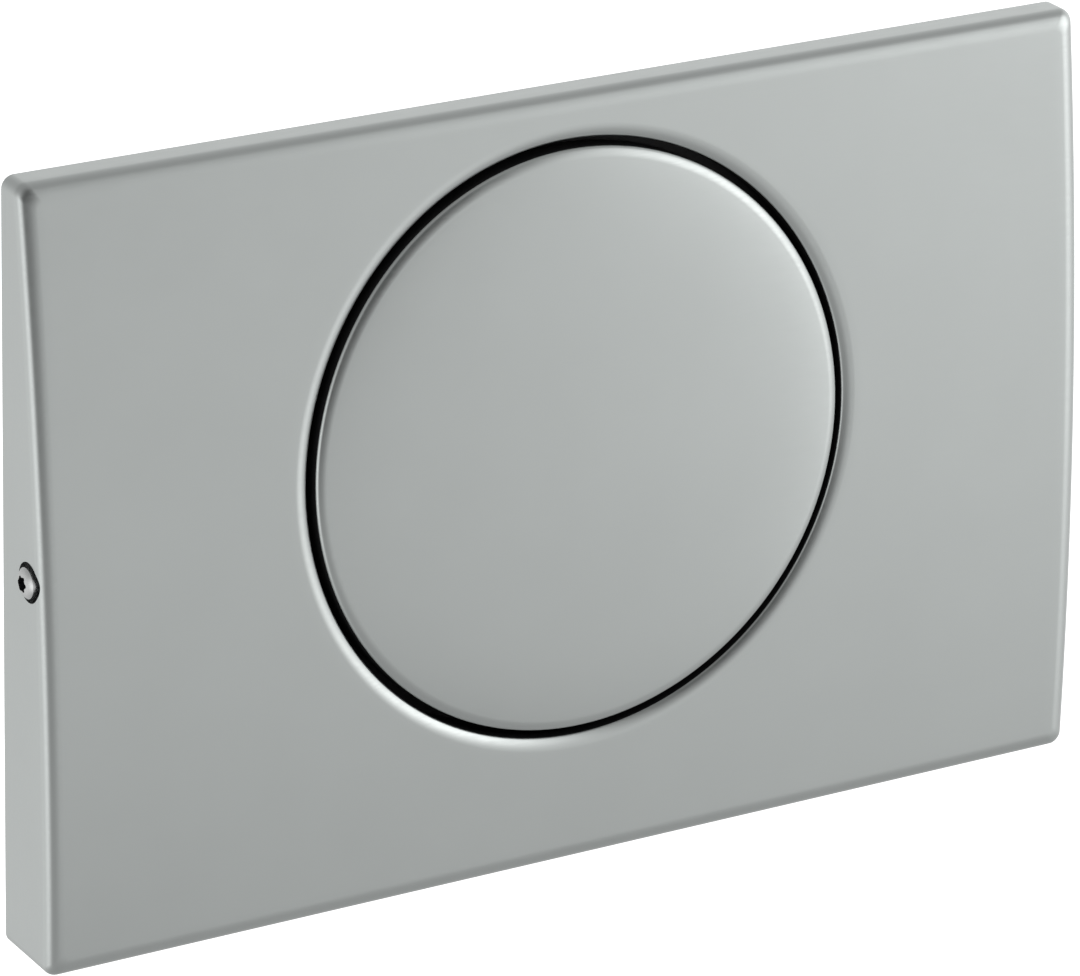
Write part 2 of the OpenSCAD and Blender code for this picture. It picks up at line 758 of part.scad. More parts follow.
module bolt_washer(side) {
    color(zinc)
        translate([side * bolt_x, boss_y, 0])
            rotate([90, 0, 0])
                difference() {
                    cylinder(h = washer_t, r = washer_r, $fn = small_fn);
                    translate([0, 0, -1])
                        cylinder(h = washer_t + 2, r = bolt_stub_r + 0.2, $fn = small_fn);
                }
}

// Knurled nut with a collar at its foot
module bolt_nut(side) {
    grooves = 20;
    groove_r = 0.7;
    collar_h = 1.2;
    color(zinc)
        translate([side * bolt_x, boss_y - washer_t, 0])
            rotate([90, 0, 0])
                difference() {
                    cylinder(h = nut_h, r = nut_r, $fn = small_fn);
                    translate([0, 0, -1])
                        cylinder(h = nut_h + 2, r = bolt_stub_r + 0.03, $fn = small_fn);
                    for (i = [0 : grooves - 1])
                        rotate(360 * i / grooves)
                            translate([nut_r, 0, collar_h])
                                cylinder(h = nut_h, r = groove_r, $fn = 16);
                }
}

module side_insert(side) {
    color(brass)
        difference() {
            x_bar(side, lug_face_x - insert_length, -side_screw_depth, side_screw_rise,
                insert_length, insert_r);
            x_bar(side, lug_face_x - insert_length - 1, -side_screw_depth, side_screw_rise,
                insert_length + 2, side_shank_r + 0.03);
        }
}

// Screw with a domed head that locks the cover's flank, with a six-lobed socket
module side_screw(side) {
    dome_r = (pow(side_head_r, 2) + pow(side_head_dome, 2)) / (2 * side_head_dome);
    head_h = plate_w / 2 + side_head_wall + side_head_dome - lug_face_x;
    socket_r = 1.5;
    lobe_r = 0.45;
    socket_depth = 2;
    color(steel)
        translate([side * lug_face_x, -side_screw_depth, side_screw_rise])
            rotate([0, side * 90, 0])
                difference() {
                    union() {
                        translate([0, 0, -side_shank_length])
                            cylinder(h = side_shank_length + 1, r = side_shank_r, $fn = small_fn);
                        intersection() {
                            cylinder(h = head_h, r = side_head_r, $fn = small_fn);
                            translate([0, 0, head_h - dome_r])
                                sphere(r = dome_r, $fn = round_fn);
                        }
                    }
                    translate([0, 0, head_h - socket_depth])
                        linear_extrude(height = socket_depth + 1) {
                            circle(r = socket_r, $fn = small_fn);
                            for (i = [0 : 5])
                                rotate(60 * i)
                                    translate([socket_r, 0])
                                        circle(r = lobe_r, $fn = 16);
                        }
                }
}

module hinge_pin(side) {
    head_h = 1.2;
    head_r = pin_r + 1;
    head_x = frame_ear_x + ear_t + head_clear;
    color(zinc) {
        x_bar(side, ear_inner_x - 1, hinge_y, hinge_z, head_x - ear_inner_x + 1.1, pin_r);
        x_bar(side, head_x, hinge_y, hinge_z, head_h, head_r);
    }
}

// Coil spring: a round wire swept along a helix, with its end turns closed up
module return_spring(side) {
    steps = 12;
    wire_sides = 6;
    closed_turns = 0.75;
    length = spring_back_y - spring_front_y - 2 * spring_wire_r;
    count = spring_turns * steps;
    function climb(i) =
        let (t = i / steps)
        t < closed_turns ? t * 2 * spring_wire_r
        : t > spring_turns - closed_turns
            ? length - (spring_turns - t) * 2 * spring_wire_r
            : closed_turns * 2 * spring_wire_r
                + (t - closed_turns) / (spring_turns - 2 * closed_turns)
                * (length - 4 * closed_turns * spring_wire_r);
    points = [for (i = [0 : count], k = [0 : wire_sides - 1])
        let (a = 360 * i / steps,
            b = 360 * k / wire_sides,
            r = spring_coil_r + spring_wire_r * cos(b))
        [side * spring_spacing / 2 + r * cos(a),
            spring_back_y - spring_wire_r - climb(i) - spring_wire_r * sin(b),
            spring_z + r * sin(a)]];
    last = count * wire_sides;
    color(zinc)
        polyhedron(
            points = points,
            faces = concat(
                band_faces(count + 1, wire_sides, false),
                [[for (k = [0 : wire_sides - 1]) k]],
                [[for (k = [wire_sides - 1 : -1 : 0]) last + k]]),
            convexity = 10);
}

module stop_buffer(side) {
    color(rubber) {
        y_bar(side * buffer_spacing / 2, buffer_z, buffer_post_y, buffer_front_y, buffer_r);
        y_bar(side * buffer_spacing / 2, buffer_z, buffer_post_y + buffer_stem_l,
            buffer_post_y - 1,
            buffer_stem_r);
    }
}

// Push rod: slides in its guide and carries the press back into the cistern
module push_rod(side) {
    x = side * rod_spacing / 2;
    color(grey_plastic) {
        y_bar(x, rod_z, rod_front_y + rod_head_h, rod_front_y, rod_head_r);
        y_bar(x, rod_z, rod_length, rod_front_y + 1, rod_r);
    }
}

module rod_tip(side) {
    tip_l = 9;
    seat_l = 6;
    x = side * rod_spacing / 2;
    color(rubber)
        difference() {
            y_bar(x, rod_z, rod_length + tip_l - seat_l, rod_length - seat_l, rod_tip_r);
            y_bar(x, rod_z, rod_length + seat_fit, rod_length - seat_l - 1, rod_r + seat_fit);
        }
}

cover_plate();
mounting_frame();
distance_bolt(left);  // distance_bolt_left
distance_bolt(right);  // distance_bolt_right
bolt_washer(left);  // bolt_washer_left
bolt_washer(right);  // bolt_washer_right
bolt_nut(left);  // bolt_nut_left
bolt_nut(right);  // bolt_nut_right
side_insert(left);  // side_insert_left
side_screw(left);  // side_screw_left
push_button();
button_carrier();
hinge_pin(left);  // hinge_pin_left
hinge_pin(right);  // hinge_pin_right
return_spring(left);  // return_spring_left
return_spring(right);  // return_spring_right
stop_buffer(left);  // stop_buffer_left
stop_buffer(right);  // stop_buffer_right
push_rod(left);  // push_rod_left
push_rod(right);  // push_rod_right
rod_tip(left);  // rod_tip_left
rod_tip(right);  // rod_tip_right
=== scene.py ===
"""Looks of the flush plate: smooth steel sheets, threads, springs, materials, studio and camera."""

import json
import math

import bmesh
import bpy
from mathutils import Matrix, Vector


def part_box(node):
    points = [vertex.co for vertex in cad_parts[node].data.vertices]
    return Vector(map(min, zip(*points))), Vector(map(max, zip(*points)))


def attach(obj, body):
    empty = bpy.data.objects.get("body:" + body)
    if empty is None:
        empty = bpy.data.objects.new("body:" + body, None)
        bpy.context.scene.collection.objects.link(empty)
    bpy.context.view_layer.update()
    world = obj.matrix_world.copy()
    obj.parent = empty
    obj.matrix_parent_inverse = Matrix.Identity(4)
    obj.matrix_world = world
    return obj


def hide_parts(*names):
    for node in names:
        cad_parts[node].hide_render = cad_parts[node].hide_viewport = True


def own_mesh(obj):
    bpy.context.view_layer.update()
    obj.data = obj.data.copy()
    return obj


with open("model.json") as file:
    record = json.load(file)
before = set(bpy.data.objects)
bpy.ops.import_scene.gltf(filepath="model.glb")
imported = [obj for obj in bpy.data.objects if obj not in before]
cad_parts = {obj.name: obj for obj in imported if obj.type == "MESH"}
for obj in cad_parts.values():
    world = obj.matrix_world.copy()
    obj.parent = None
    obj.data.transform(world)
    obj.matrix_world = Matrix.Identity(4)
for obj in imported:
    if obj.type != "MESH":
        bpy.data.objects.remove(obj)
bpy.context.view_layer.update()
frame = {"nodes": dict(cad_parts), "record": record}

# Sizes of the part in millimetres, as in its source
PLATE_W, PLATE_H, PLATE_DEPTH = 246.0, 164.0, 19.0
BOW_RADIUS, BOW_LOW = 1010.0, 71.0
SHEET = 1.2
OPENING_R, OPENING_RISE, RIM_DEPTH = 63.3, 9.6, 3.6
BUTTON_R, BUTTON_PROUD = OPENING_R - 1.7, 0.4
BUTTON_SKIRT, BUTTON_SHEET = 5.0, 1.0
SCREW_DEPTH, SCREW_RISE, SCREW_HOLE_R = 11.0, 1.3, 4.2
HEAD_R, HEAD_WALL, HEAD_DOME, HEAD_EDGE = 3.2, 0.8, 0.9, 0.25
SHANK_R, SOCKET_R, LOBE_R, SOCKET_DEPTH = 1.9, 1.25, 0.5, 2.0
TAB_RISE, TAB_W, TAB_REACH, TAB_CORNER_R = 36.0, 12.0, 6.0, 2.0
BOLT_X, BOLT_R, BOLT_LENGTH, BOLT_TIP = 92.0, 4.0, 50.0, 1.0
SHOULDER_R, SHOULDER_LENGTH, STUB_R, STUB_END = 4.6, 6.0, 3.0, 12.6
BOLT_PITCH, STUB_PITCH = 1.25, 1.0
SPRING_COIL_R, SPRING_WIRE_R, SPRING_TURNS, SPRING_CLOSED = 4.2, 0.5, 6, 0.75
MM = 0.001

# Edges in millimetres, drawn more finely here than in the part's source. A rolled edge is a
# tight bend that runs into the front over a gentle shoulder: (bend radius, shoulder radius,
# turn from the wall in degrees where the shoulder starts)
CORNER_R, FACE_CORNER_R = 2.7, 1.5
OUTER_EDGE, RIM_EDGE, BUTTON_EDGE = (2.2, 6.5, 68), (0.9, 5.5, 62), (0.9, 5.0, 70)
DOME_SOFT, DOME_EDGE = 0.75, 0.45
# Depth below the front, for the cover and the button, from which the steel in the gaps round the
# button is painted black as painted shade
SHADE_DROP_COVER, SHADE_DROP_BUTTON = 0.95, 0.85

BOW_AXIS_Y = BOW_RADIUS - PLATE_DEPTH
BOW_REACH = math.sqrt(BOW_RADIUS**2 - OPENING_R**2)
TILT = math.asin((OPENING_RISE + BOW_LOW) / BOW_REACH)
BUTTON_PLANE_Y = BOW_AXIS_Y - BOW_REACH * math.cos(TILT)


def bow_y(z):
    """Depth of the bowed front at height z."""
    return BOW_AXIS_Y - math.sqrt(BOW_RADIUS**2 - (z + BOW_LOW) ** 2)


def bow_h(v):
    """Height of the bow above the plane of the opening."""
    return math.sqrt(BOW_RADIUS**2 - v * v) - BOW_REACH


def on_button(u, v, w):
    """A point given across, up and out of the plane of the opening."""
    y = BUTTON_PLANE_Y + v * math.sin(TILT) - w * math.cos(TILT)
    z = OPENING_RISE + v * math.cos(TILT) + w * math.sin(TILT)
    return (u, y, z)


def off_button(x, y, z):
    """Across, up and out of the plane of the opening, for a point."""
    y, z = y - BUTTON_PLANE_Y, z - OPENING_RISE
    v = y * math.sin(TILT) + z * math.cos(TILT)
    return (x, v, z * math.sin(TILT) - y * math.cos(TILT))


def span(start, end, steps):
    return [start + (end - start) * i / steps for i in range(steps + 1)]


def rolled(edge, turn, sheet=0.0):
    """Inset from the wall and drop from the front, where an edge has turned from wall to front.

    With a sheet's thickness the point is on the sheet's other side.
    """
    bend, shoulder, start = edge
    start = math.radians(start)
    tight, soft = min(turn, start), max(turn, start)
    inset_d = bend * (1 - math.cos(tight)) + shoulder * (math.cos(start) - math.cos(soft))
    left = bend * (math.sin(start) - math.sin(tight)) + shoulder * (1 - math.sin(soft))
    return inset_d + sheet * math.cos(turn), left + sheet * math.sin(turn)


def turns(edge, steps):
    """Turns of an edge from its wall to the front, with equal steps in bend and shoulder."""
    start = math.radians(edge[2])
    return span(0, start, steps) + span(start, math.pi / 2, steps)[1:]


EDGE_REACH, EDGE_DROP = rolled(OUTER_EDGE, math.pi / 2)[0], rolled(OUTER_EDGE, 0)[1]
RIM_REACH = rolled(RIM_EDGE, math.pi / 2)[0]
CORE_R = BUTTON_R - rolled(BUTTON_EDGE, math.pi / 2)[0]


# Mesh helpers
def band_faces(rings, count, closed):
    """Quads between neighbouring rings, and back to the first ring if closed."""
    faces = []
    for k in range(rings if closed else rings - 1):
        n = (k + 1) % rings
        for i in range(count):
            j = (i + 1) % count
            faces.append((k * count + i, n * count + i, n * count + j, k * count + j))
    return faces


def mesh_object(name, points, faces, sharp_deg=35.0):
    """A smooth mesh from points in millimetres, with its creases marked sharp."""
    mesh = bpy.data.meshes.new(name)
    mesh.from_pydata([tuple(c * MM for c in p) for p in points], [], faces)
    obj = bpy.data.objects.new(name, mesh)
    bpy.context.scene.collection.objects.link(obj)
    finish_mesh(mesh, sharp_deg)
    return obj


def finish_mesh(mesh, sharp_deg):
    bm = bmesh.new()
    bm.from_mesh(mesh)
    bmesh.ops.recalc_face_normals(bm, faces=bm.faces)
    for face in bm.faces:
        face.smooth = True
    limit = math.radians(sharp_deg)
    for edge in bm.edges:
        if len(edge.link_faces) == 2:
            edge.smooth = edge.calc_face_angle() < limit
    bm.to_mesh(mesh)
    bm.free()
    mesh.update()


def combine(obj, other, operation, sharp_deg=35.0):
    """Adds the other solid to the object or takes it out, and applies the result."""
    mod = obj.modifiers.new("combine", "BOOLEAN")
    mod.operation, mod.solver, mod.object = operation, "EXACT", other
    depsgraph = bpy.context.evaluated_depsgraph_get()
    mesh = bpy.data.meshes.new_from_object(obj.evaluated_get(depsgraph))
    obj.modifiers.clear()
    obj.data = mesh
    bpy.data.objects.remove(other)
    finish_mesh(mesh, sharp_deg)


def prism(name, outline, start, end, place):
    """A closed prism over an outline, between two distances that place turns into points."""
    points = [place(a, b, d) for d in (start, end) for a, b in outline]
    count = len(outline)
    faces = band_faces(2, count, False)
    faces += [tuple(range(count)), tuple(range(2 * count - 1, count - 1, -1))]
    return mesh_object(name, points, faces)


def turned(name, profile, place, sides=96, sharp_deg=35.0):
    """A closed turned solid from (radius, distance) rows, the first and last on the axis."""
    angles = [2 * math.pi * i / sides for i in range(sides)]
    rows = profile[1:-1]
    points = [place(r * math.cos(a), r * math.sin(a), d) for r, d in rows for a in angles]
    faces = band_faces(len(rows), sides, False)
    first, last, base = len(points), len(points) + 1, (len(rows) - 1) * sides
    points += [place(0, 0, profile[0][1]), place(0, 0, profile[-1][1])]
    for i in range(sides):
        j = (i + 1) % sides
        faces += [(first, j, i), (last, base + i, base + j)]
    return mesh_object(name, points, faces, sharp_deg)


def circle(radius, sides):
    angles = [2 * math.pi * i / sides for i in range(sides)]
    return [(radius * math.cos(a), radius * math.sin(a)) for a in angles]


# Cover plate
def outline_rows(ray_step, corner_steps):
    """Outline of the cover, anticlockwise, as rows of (x, z, normal x, normal z, at a corner).

    On a side x and z are the outer point, and at a corner they are the corner's signs.
    """
    half_w, half_h = PLATE_W / 2, PLATE_H / 2
    zone = EDGE_REACH + FACE_CORNER_R + 0.3
    rays = [math.tan(math.radians(a)) for a in span(-85, 85, int(170 / ray_step))]
    side_z = [z for z in (OPENING_RISE + half_w * t for t in rays) if abs(z) < half_h - zone]
    top_x = [x for x in ((half_h - OPENING_RISE) * t for t in rays) if abs(x) < half_w - zone]
    low_x = [x for x in ((half_h + OPENING_RISE) * t for t in rays) if abs(x) < half_w - zone]

    def corner(x, z, start):
        angles = [math.radians(start + a) for a in span(0, 90, corner_steps)]
        return [(x, z, math.cos(a), math.sin(a), True) for a in angles]

    rows = [(half_w, z, 1, 0, False) for z in side_z] + corner(1, 1, 0)
    rows += [(-x, half_h, 0, 1, False) for x in top_x] + corner(-1, 1, 90)
    rows += [(-half_w, z, -1, 0, False) for z in reversed(side_z)] + corner(-1, -1, 180)
    rows += [(x, -half_h, 0, -1, False) for x in low_x] + corner(1, -1, 270)
    return rows


def inset(row, d):
    """The point of a row at distance d in from the outline. Corners get tighter on the way."""
    x, z, nx, nz, at_corner = row
    if not at_corner:
        return (x - d * nx, z - d * nz)
    r = CORNER_R + (FACE_CORNER_R - CORNER_R) * d / EDGE_REACH
    return (x * (PLATE_W / 2 - d - r) + r * nx, z * (PLATE_H / 2 - d - r) + r * nz)


def cover_rings():
    """Rings of the drawn sheet: wall edge, flank, rolled edge, front, rim, and back inside."""
    rows = outline_rows(1.0, 16)

    def flank(d, drop):
        return [(x, bow_y(z) + drop, z) for x, z in (inset(row, d) for row in rows)]

    def at_share(d, share):
        """A ring part of the way up the flank, between the wall and the rolled edge."""
        flat = (inset(row, d) for row in rows)
        return [(x, (bow_y(z) + EDGE_DROP) * share, z) for x, z in flat]

    starts = [inset(row, EDGE_REACH) for row in rows]
    angles = [math.atan2(z - OPENING_RISE, x) for x, z in starts]

    def rim(radius, drop):
        points = [(radius * math.cos(a), radius * math.sin(a)) for a in angles]
        return [on_button(u, v, bow_h(v) - drop) for u, v in points]

    ends = rim(OPENING_R + RIM_REACH, 0)

    def face(t, drop):
        ring = []
        for (x0, z0), (x1, _, z1) in zip(starts, ends):
            z = z0 + (z1 - z0) * t
            ring.append((x0 + (x1 - x0) * t, bow_y(z) + drop, z))
        return ring

    def outer_edge(turn, sheet=0.0):
        return flank(*rolled(OUTER_EDGE, turn, sheet))

    def rim_edge(turn, sheet=0.0):
        reach, drop = rolled(RIM_EDGE, turn, sheet)
        return rim(OPENING_R + reach, drop)

    rings = [at_share(0, 0.0), at_share(0, 0.33), at_share(0, 0.66)]
    rings += [outer_edge(t) for t in turns(OUTER_EDGE, 10)]
    rings += [face(t, 0) for t in span(0, 1, 28)[1:]]
    rings += [rim_edge(t) for t in reversed(turns(RIM_EDGE, 10)[:-1])]
    rings += [rim(OPENING_R, RIM_DEPTH), rim(OPENING_R + SHEET, RIM_DEPTH)]
    rings += [rim_edge(t, SHEET) for t in turns(RIM_EDGE, 5)
              if rolled(RIM_EDGE, t, SHEET)[0] > SHEET]
    rings += [face(t, SHEET) for t in span(1, 0, 10)[1:-1]]
    rings += [outer_edge(t, SHEET) for t in reversed(turns(OUTER_EDGE, 5))]
    rings += [at_share(SHEET, 0.0)]
    return rings


def make_cover():
    rings = cover_rings()
    points = [p for ring in rings for p in ring]
    obj = mesh_object("cover_sheet", points, band_faces(len(rings), len(rings[0]), True))
    hole = prism("hole", circle(SCREW_HOLE_R, 96), PLATE_W / 2 - EDGE_REACH - 2 * SHEET,
                 PLATE_W / 2 + SHEET, at_side_screw)
    combine(obj, hole, "DIFFERENCE")
    for z in (-TAB_RISE, TAB_RISE):
        combine(obj, make_tab(z), "UNION")
    return obj


def at_side_screw(a, b, d):
    """A point on the side screw's axis system, at distance d out from the plate's middle."""
    return (-d, -SCREW_DEPTH + a, SCREW_RISE + b)


def make_tab(z):
    """A catch tab bent in from the right flank, with rounded corners."""
    inner = PLATE_W / 2 - SHEET - TAB_REACH
    outline = [(PLATE_W / 2 - SHEET / 2, z - TAB_W / 2), (PLATE_W / 2 - SHEET / 2, z + TAB_W / 2)]
    for turn, zc in ((90, z + TAB_W / 2 - TAB_CORNER_R), (180, z - TAB_W / 2 + TAB_CORNER_R)):
        for a in span(turn, turn + 90, 8):
            a = math.radians(a)
            outline.append((inner + TAB_CORNER_R * (1 + math.cos(a)),
                            zc + TAB_CORNER_R * math.sin(a)))
    return prism("tab", outline, -SHEET, 0, lambda x, zz, y: (x, y, zz))


# Push button
def dome_w(u, v):
    """Height of the button: a low dome that falls faster towards its edge."""
    q = (u * u + v * v) / BUTTON_R**2
    return bow_h(v) + BUTTON_PROUD + DOME_SOFT * (1 - q) + DOME_EDGE * (1 - q**4)


def make_button(sides=256):
    angles = [2 * math.pi * i / sides for i in range(sides)]

    def ring(radius, drop):
        points = [(radius * math.cos(a), radius * math.sin(a)) for a in angles]
        return [on_button(u, v, dome_w(u, v) - drop) for u, v in points]

    def edge(turn, sheet=0.0):
        reach, drop = rolled(BUTTON_EDGE, turn, sheet)
        return ring(BUTTON_R - reach, drop)

    def skirt_end(radius):
        return [on_button(radius * math.cos(a), radius * math.sin(a), -BUTTON_SKIRT)
                for a in angles]

    rings = [ring(CORE_R * t, 0) for t in span(0, 1, 24)[1:-1]]
    rings += [edge(t) for t in reversed(turns(BUTTON_EDGE, 10))]
    rings += [skirt_end(BUTTON_R), skirt_end(BUTTON_R - BUTTON_SHEET)]
    rings += [edge(t, BUTTON_SHEET) for t in turns(BUTTON_EDGE, 5)
              if rolled(BUTTON_EDGE, t, BUTTON_SHEET)[0] > BUTTON_SHEET]
    rings += [ring(CORE_R * t, BUTTON_SHEET) for t in span(1, 0, 6)[1:-1]]
    points = [p for r in rings for p in r]
    faces = band_faces(len(rings), sides, False)
    top, last = len(points), (len(rings) - 1) * sides
    points += [on_button(0, 0, dome_w(0, 0)), on_button(0, 0, dome_w(0, 0) - BUTTON_SHEET)]
    faces += [(top, i, (i + 1) % sides) for i in range(sides)]
    faces += [(top + 1, last + (i + 1) % sides, last + i) for i in range(sides)]
    return mesh_object("button_cap", points, faces)


# Side screw
def make_side_screw():
    """Domed head with a rounded rim and a six-lobed socket, on a plain shank."""
    box_low, box_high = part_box("side_screw_left")
    tail, head_low = -box_high[0] / MM, PLATE_W / 2 - SHEET - 1.3
    top = PLATE_W / 2 + HEAD_WALL + HEAD_DOME
    profile = [(0, tail), (SHANK_R - 0.4, tail), (SHANK_R, tail + 0.6), (SHANK_R, head_low),
               (HEAD_R - 0.3, head_low), (HEAD_R, head_low + 0.3)]
    profile += [(HEAD_R * t, top - HEAD_DOME * t**2 - HEAD_EDGE * t**8)
                for t in span(1, 0.08, 18)]
    profile.append((0, top))
    screw = turned("side_screw_head", profile, at_side_screw)
    lobes = []
    for i in range(6):
        a = math.radians(60 * i)
        cx, cy = SOCKET_R * math.cos(a), SOCKET_R * math.sin(a)
        for b in span(-80, 80, 8):
            b = a + math.radians(b)
            lobes.append((cx + LOBE_R * math.cos(b), cy + LOBE_R * math.sin(b)))
        b = a + math.radians(30)
        lobes.append(((SOCKET_R + 0.2) * math.cos(b), (SOCKET_R + 0.2) * math.sin(b)))
    combine(screw, prism("socket", lobes, top - SOCKET_DEPTH, top + 1, at_side_screw),
            "DIFFERENCE")
    return screw


# Distance bolts
def thread_rows(start, end, radius, pitch, sides):
    """Grid of a thread between two distances: rows climb along the helix, ends run out."""
    depth = 0.6 * pitch
    steps = ((0.0, 1.0), (0.2, 1.0), (0.5, 0.0), (0.7, 0.0))
    turns = int((end - start) / pitch) + 1
    rows = []
    for turn in range(-1, turns + 1):
        for share, crest in steps:
            row = []
            for i in range(sides + 1):
                d = start + (turn + share + i / sides) * pitch
                d = min(max(d, start), end)
                fade = min(1.0, (d - start) / pitch, (end - d) / pitch)
                row.append((radius - depth * (1 - crest * fade), d, 2 * math.pi * i / sides))
            rows.append(row)
    return rows


def make_bolt(side, sides=48):
    """Distance bolt: threaded wall end with a chamfered tip, shoulder, threaded stub."""
    def place(row):
        r, d, a = row
        return (side * BOLT_X + r * math.cos(a), d, r * math.sin(a))

    bm = bmesh.new()

    def add_grid(rows):
        grid = [[bm.verts.new(Vector(place(p)) * MM) for p in row] for row in rows]
        for low, high in zip(grid, grid[1:]):
            for i in range(len(low) - 1):
                bm.faces.new((low[i], low[i + 1], high[i + 1], high[i]))

    def plain(*profile):
        add_grid([[(r, d, 2 * math.pi * i / sides) for i in range(sides + 1)]
                  for r, d in profile])

    root, stub_root = BOLT_R - 0.6 * BOLT_PITCH, STUB_R - 0.6 * STUB_PITCH
    plain((stub_root, -STUB_END + 0.4), (stub_root - 0.4, -STUB_END), (0, -STUB_END))
    add_grid(thread_rows(-STUB_END + 0.4, -SHOULDER_LENGTH, STUB_R, STUB_PITCH, sides))
    plain((stub_root, -SHOULDER_LENGTH), (SHOULDER_R - 0.3, -SHOULDER_LENGTH),
          (SHOULDER_R, -SHOULDER_LENGTH + 0.3), (SHOULDER_R, -0.3), (SHOULDER_R - 0.3, 0),
          (root, 0))
    add_grid(thread_rows(0, BOLT_LENGTH - BOLT_TIP, BOLT_R, BOLT_PITCH, sides))
    plain((root, BOLT_LENGTH - BOLT_TIP), (BOLT_R - BOLT_TIP - 0.2, BOLT_LENGTH),
          (0, BOLT_LENGTH))
    bmesh.ops.remove_doubles(bm, verts=bm.verts, dist=1e-7)
    bmesh.ops.dissolve_degenerate(bm, edges=bm.edges, dist=1e-7)
    mesh = bpy.data.meshes.new("bolt")
    bm.to_mesh(mesh)
    bm.free()
    obj = bpy.data.objects.new("threaded_bolt_" + ("left" if side < 0 else "right"), mesh)
    bpy.context.scene.collection.objects.link(obj)
    finish_mesh(mesh, 35.0)
    return obj


# Return springs
def make_spring(node):
    """Coil of round wire in the place of a node, with closed end turns."""
    low, high = (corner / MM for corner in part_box(node))
    middle = (low + high) / 2
    length = high[1] - low[1] - 2 * SPRING_WIRE_R
    steps, sides = 40, 16
    count = SPRING_TURNS * steps

    def climb(t):
        closed, wire = SPRING_CLOSED, 2 * SPRING_WIRE_R
        if t < closed:
            return t * wire
        if t > SPRING_TURNS - closed:
            return length - (SPRING_TURNS - t) * wire
        share = (t - closed) / (SPRING_TURNS - 2 * closed)
        return closed * wire + share * (length - 2 * closed * wire)

    points = []
    for i in range(count + 1):
        a = 2 * math.pi * i / steps
        for k in range(sides):
            b = 2 * math.pi * k / sides
            r = SPRING_COIL_R + SPRING_WIRE_R * math.cos(b)
            y = high[1] - SPRING_WIRE_R - climb(i / steps) - SPRING_WIRE_R * math.sin(b)
            points.append((middle[0] + r * math.cos(a), y, middle[2] + r * math.sin(a)))
    faces = band_faces(count + 1, sides, False)
    faces += [tuple(range(sides)), tuple(range((count + 1) * sides - 1, count * sides - 1, -1))]
    return mesh_object("coil_" + node, points, faces, 50.0)


# Materials
def material(name, colour, metallic, roughness):
    """A principled material and its node tree, shader and object coordinates."""
    mat = bpy.data.materials.new(name)
    mat.use_nodes = True
    tree = mat.node_tree
    shader = tree.nodes["Principled BSDF"]
    shader.inputs["Base Color"].default_value = (*colour, 1)
    shader.inputs["Metallic"].default_value = metallic
    shader.inputs["Roughness"].default_value = roughness
    coords = tree.nodes.new("ShaderNodeTexCoord")
    return mat, tree, shader, coords


def noise(tree, coords, scale, stretch=(1, 1, 1), detail=2.0):
    mapping = tree.nodes.new("ShaderNodeMapping")
    mapping.inputs["Scale"].default_value = stretch
    tree.links.new(coords.outputs["Object"], mapping.inputs["Vector"])
    tex = tree.nodes.new("ShaderNodeTexNoise")
    tex.inputs["Scale"].default_value = scale
    tex.inputs["Detail"].default_value = detail
    tree.links.new(mapping.outputs["Vector"], tex.inputs["Vector"])
    return tex.outputs["Fac"]


def ranged(tree, value, low, high):
    node = tree.nodes.new("ShaderNodeMapRange")
    node.inputs["From Min"].default_value = 0.3
    node.inputs["From Max"].default_value = 0.7
    node.inputs["To Min"].default_value = low
    node.inputs["To Max"].default_value = high
    tree.links.new(value, node.inputs["Value"])
    return node.outputs["Result"]


def shade(tree, value, colour, low, high):
    """The colour made darker or lighter by a value."""
    node = tree.nodes.new("ShaderNodeMix")
    node.data_type = "RGBA"
    node.inputs["A"].default_value = (*[c * low for c in colour], 1)
    node.inputs["B"].default_value = (*[min(1.0, c * high) for c in colour], 1)
    tree.links.new(ranged(tree, value, 0.0, 1.0), node.inputs["Factor"])
    return node.outputs["Result"]


def bump(tree, shader, value, strength, distance):
    node = tree.nodes.new("ShaderNodeBump")
    node.inputs["Strength"].default_value = strength
    node.inputs["Distance"].default_value = distance
    tree.links.new(value, node.inputs["Height"])
    tree.links.new(node.outputs["Normal"], shader.inputs["Normal"])


def grained(name, colour, metallic, roughness, spread, grain, depth, stretch=(1, 1, 1),
            tone=0.04):
    """A material with cloudy tone, varied roughness and a fine grain."""
    mat, tree, shader, coords = material(name, colour, metallic, roughness)
    cloud = noise(tree, coords, 45.0, detail=3.0)
    fine = noise(tree, coords, grain, stretch)
    tree.links.new(shade(tree, cloud, colour, 1 - tone, 1 + tone), shader.inputs["Base Color"])
    tree.links.new(ranged(tree, fine, roughness - spread, roughness + spread),
                   shader.inputs["Roughness"])
    bump(tree, shader, fine, 1.0, depth)
    return mat


